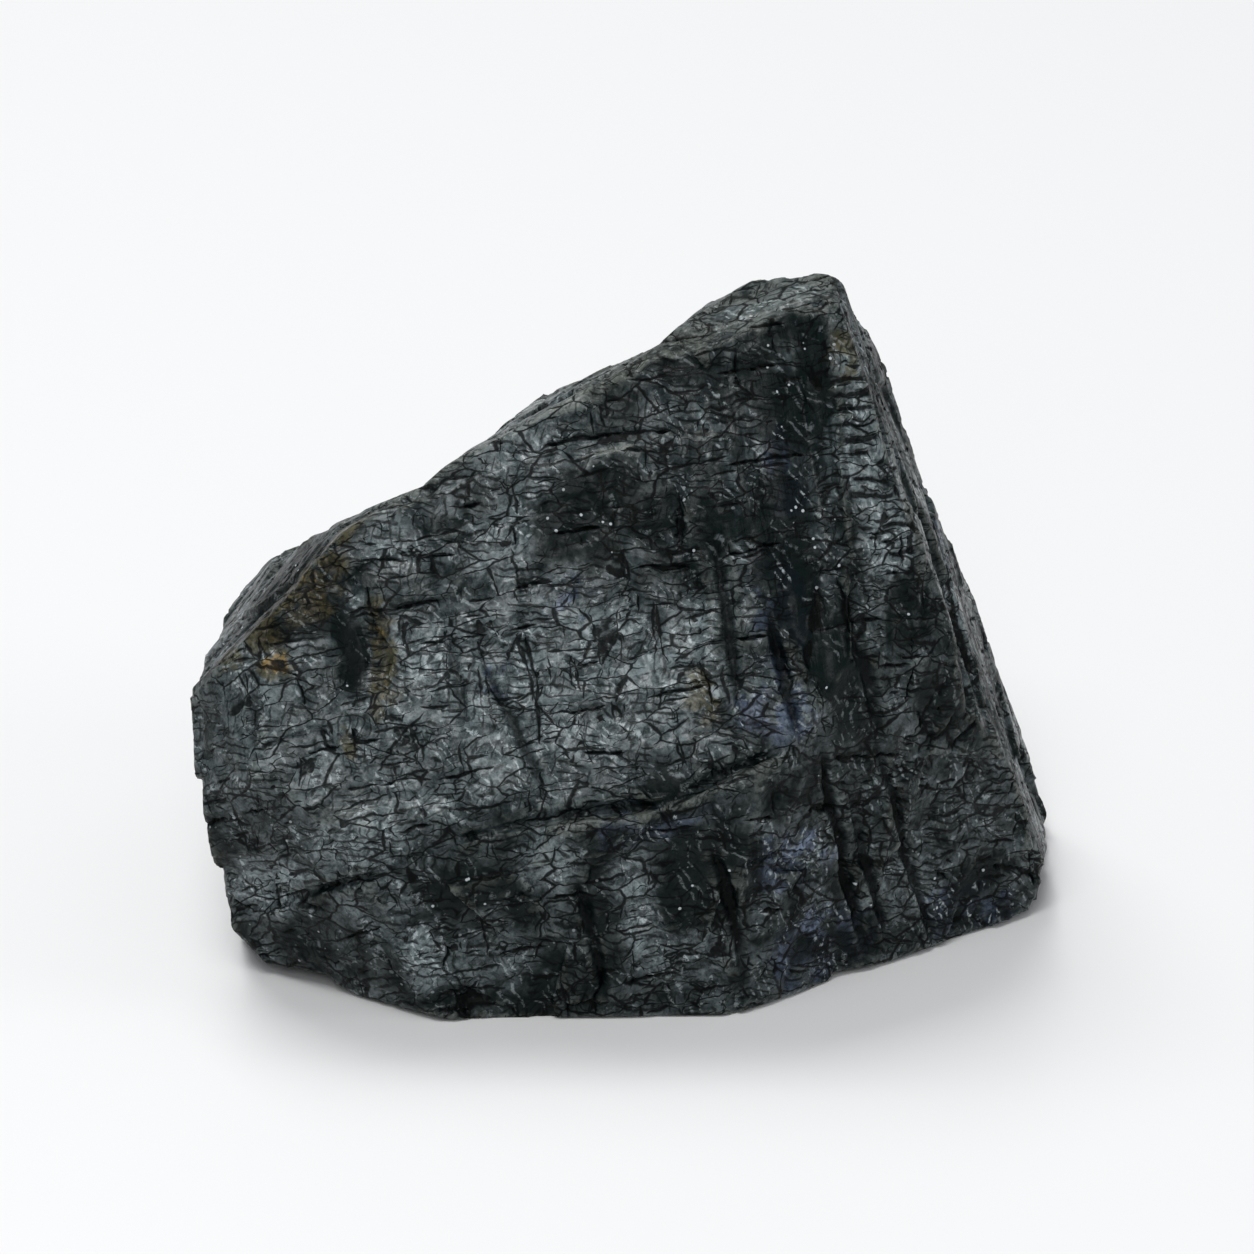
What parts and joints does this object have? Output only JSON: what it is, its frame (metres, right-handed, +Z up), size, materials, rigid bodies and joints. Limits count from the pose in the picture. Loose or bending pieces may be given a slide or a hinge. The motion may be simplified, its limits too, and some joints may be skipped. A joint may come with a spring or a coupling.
{
  "type": "black tourmaline chunk",
  "caption": "Broken chunk of black tourmaline with a broad sloping mosaic-fractured front, crystal-long furrows and a flat break underneath that it rests on, for display.",
  "frame": {"origin": "under the middle of the chunk's bounding box, on the flat break that it rests on", "axes": "+Z up, -Y towards the broad front side, +X towards the tall right end; the crystal axis leans back and a little left of +Z"},
  "size_m": [0.0616, 0.0442, 0.0478],
  "materials": {
    "schorl": "rough broken crystal, black with a glassy lustre, grey where its facets catch the light, rusty stains at the upper left"
  },
  "bodies": {
    "root": {"tourmaline_chunk": "schorl"}
  },
  "joints": []
}
